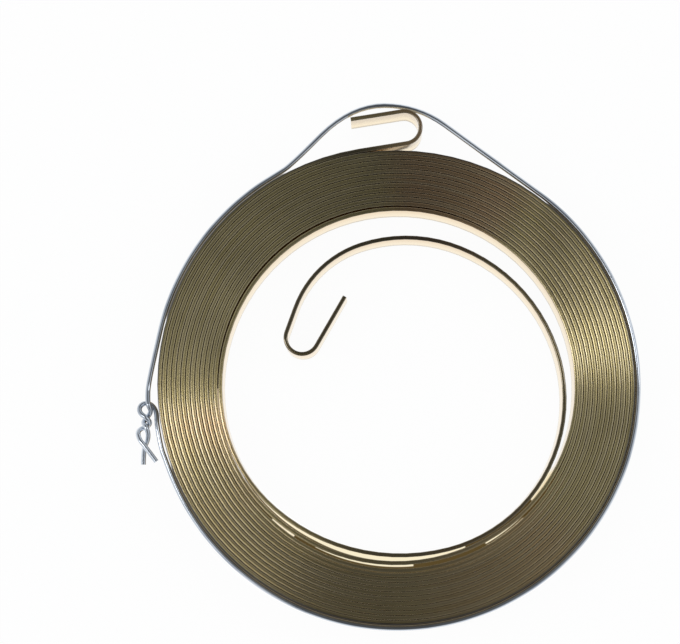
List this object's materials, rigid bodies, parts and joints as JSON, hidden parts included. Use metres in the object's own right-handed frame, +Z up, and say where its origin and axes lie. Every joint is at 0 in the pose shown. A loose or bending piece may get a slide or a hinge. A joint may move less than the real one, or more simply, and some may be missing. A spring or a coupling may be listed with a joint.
{
  "type": "recoil starter spring",
  "caption": "Flat steel strip wound into a tight spiral, with a hook bent on each end, held closed by one thin twisted binding wire.",
  "frame": {"origin": "on the axis of the wound coil, in the plane of the strip's lower edge, on which the spring lies", "axes": "+Z up along the coil's axis, with the edge face that the picture shows on top; +Y towards the outer hook; +X away from the wire's twist"},
  "size_m": [0.0646, 0.0676, 0.008],
  "materials": {
    "spring_steel": "blued and oiled steel strip, bronze brown on its edges, polished lines where the light catches each turn",
    "galvanised_wire": "bright zinc-coated soft wire, slightly satin"
  },
  "bodies": {
    "root": {"spring_strip": "spring_steel", "binding_wire": "galvanised_wire"}
  },
  "joints": []
}
